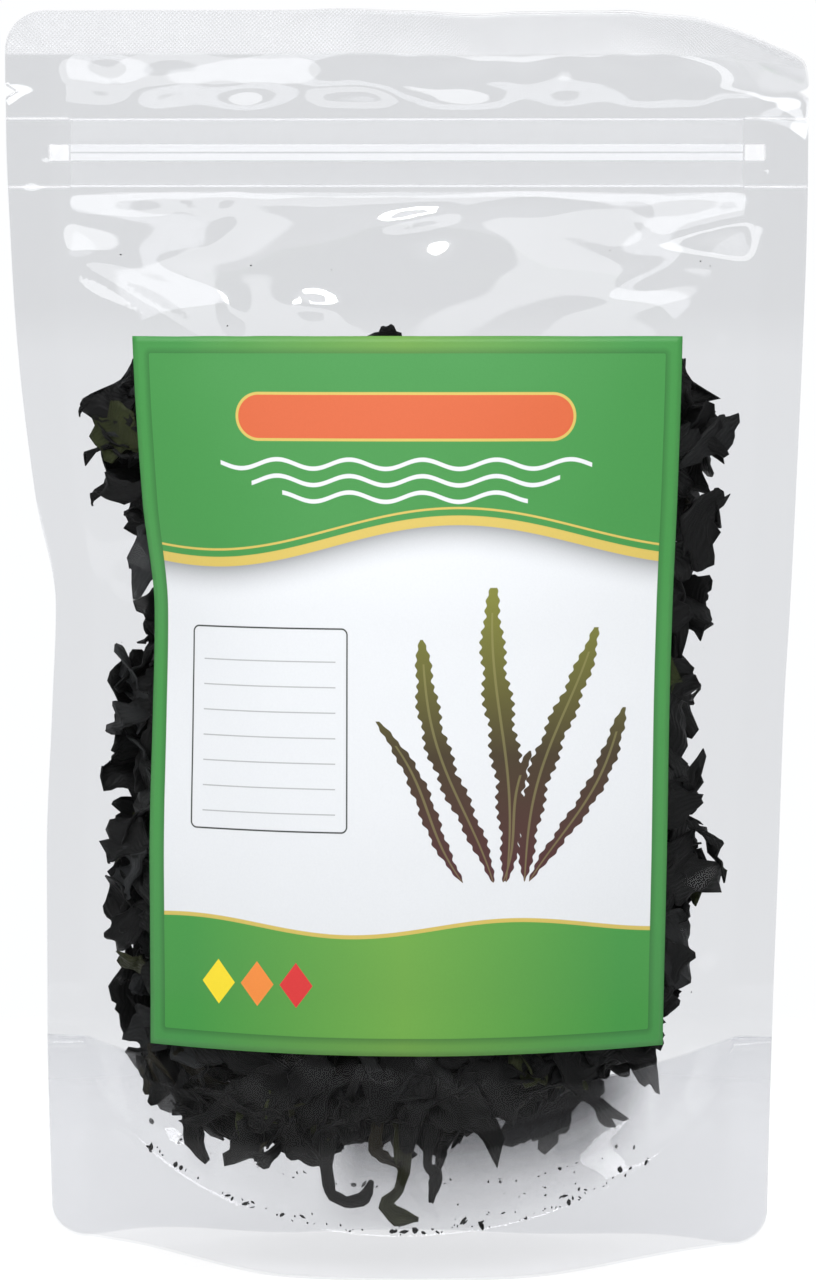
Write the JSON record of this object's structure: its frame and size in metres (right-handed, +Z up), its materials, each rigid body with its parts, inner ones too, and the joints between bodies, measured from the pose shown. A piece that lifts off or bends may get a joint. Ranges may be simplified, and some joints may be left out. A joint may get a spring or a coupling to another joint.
{
  "type": "stand-up pouch of dried wakame",
  "caption": "Clear stand-up zip pouch with a printed front label, filled with near-black crumpled flakes of dried wakame seaweed.",
  "frame": {"origin": "on the surface that the pouch stands on, below the middle of its foot", "axes": "+X to the right across the front, +Y from the labelled front to the back, +Z up"},
  "size_m": [0.16, 0.0566, 0.2508],
  "materials": {
    "clear_film": "clear, glossy laminated film",
    "zip_strip": "clear, glossy extruded strip",
    "label_print": "satin printed label in green and white",
    "dried_wakame": "near-black dried seaweed with a dull sheen"
  },
  "bodies": {
    "root": {"front_panel": "clear_film", "back_panel": "clear_film", "bottom_gusset": "clear_film", "zip_lips_front": "zip_strip", "zip_rib_back": "zip_strip", "label": "label_print", "wakame_heap": "dried_wakame"}
  },
  "joints": []
}
